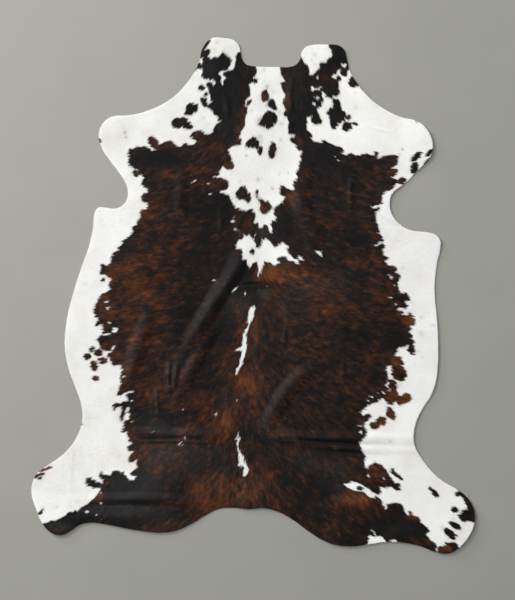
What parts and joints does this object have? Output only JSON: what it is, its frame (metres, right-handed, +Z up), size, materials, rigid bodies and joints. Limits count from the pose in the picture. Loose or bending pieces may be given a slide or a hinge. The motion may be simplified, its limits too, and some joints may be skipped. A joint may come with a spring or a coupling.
{
  "type": "cowhide rug",
  "caption": "Whole hair-on cowhide laid flat as a floor rug, with dark brindle patches on white, a curved cut edge, storage folds and soft rolls.",
  "frame": {"origin": "middle of the hide's box on the floor, under its flesh side", "axes": "+Y towards the neck, +Z up through the hair side, the spine along Y"},
  "size_m": [1.9751, 2.3001, 0.015],
  "materials": {
    "hair": "short glossy hair on leather, black and dark brown brindle on white"
  },
  "bodies": {
    "root": {"cowhide": "hair"}
  },
  "joints": []
}
